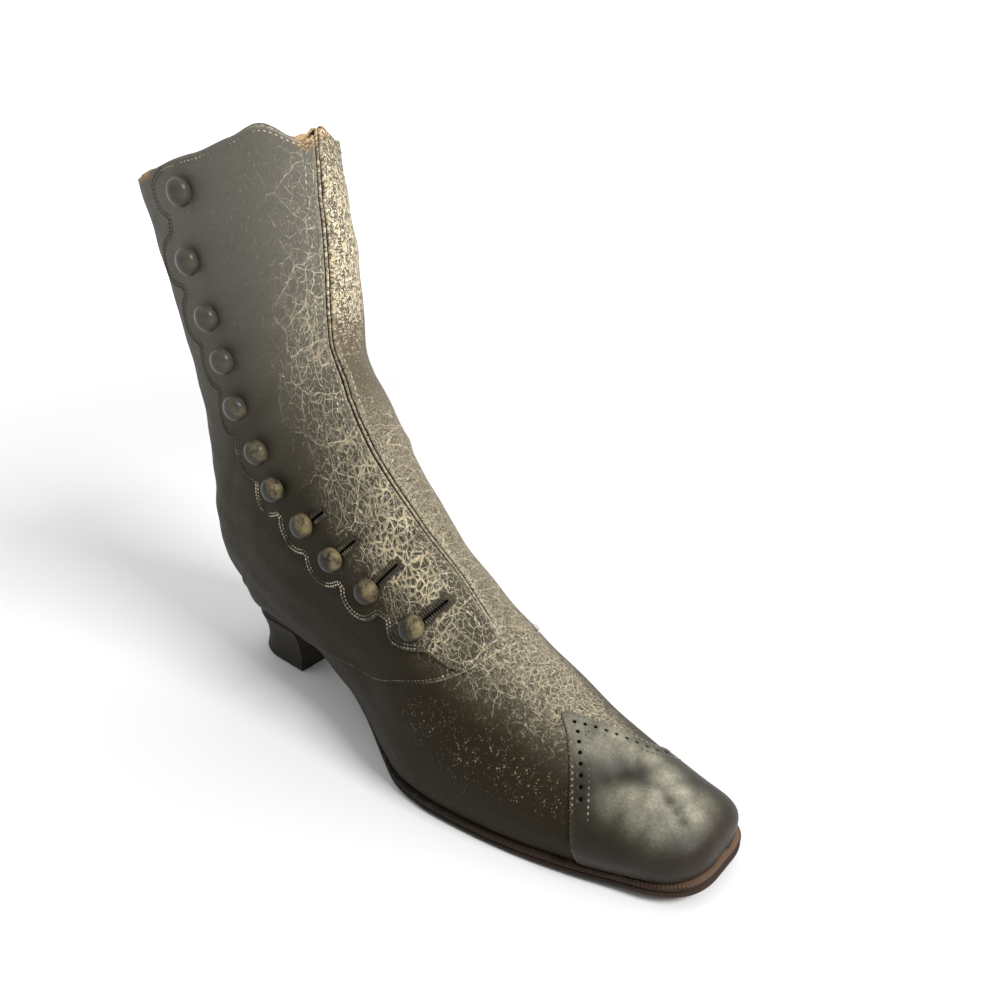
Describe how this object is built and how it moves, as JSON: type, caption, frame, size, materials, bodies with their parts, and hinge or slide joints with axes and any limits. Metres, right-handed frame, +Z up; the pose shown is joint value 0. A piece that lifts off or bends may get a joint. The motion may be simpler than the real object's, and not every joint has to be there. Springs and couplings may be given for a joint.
{
  "type": "button boot",
  "caption": "Ankle-high leather button boot for the right foot, with a scalloped side fly of domed buttons, a peaked toe cap, a welted sole and a low heel.",
  "frame": {"origin": "on the floor under the middle of the boot's length and width", "axes": "+X towards the toe, +Y towards the inner side of the foot, +Z up"},
  "size_m": [0.2602, 0.0676, 0.2274],
  "materials": {
    "worn_leather": "cracked, worn",
    "cap_leather": "smooth, scuffed",
    "sole_leather": "worn edge",
    "welt_leather": "worn, tan",
    "heel_leather": "dark, worn",
    "lining_leather": "undyed, matte",
    "button_black": "worn glaze"
  },
  "bodies": {
    "root": {"upper": "worn_leather", "button_fly": "worn_leather", "toe_cap": "cap_leather", "outsole": "sole_leather", "welt": "welt_leather", "heel": "heel_leather", "insole": "lining_leather", "button_01": "button_black", "button_02": "button_black", "button_03": "button_black", "button_04": "button_black", "button_05": "button_black", "button_06": "button_black", "button_07": "button_black", "button_08": "button_black", "button_09": "button_black", "button_10": "button_black", "button_11": "button_black"}
  },
  "joints": []
}
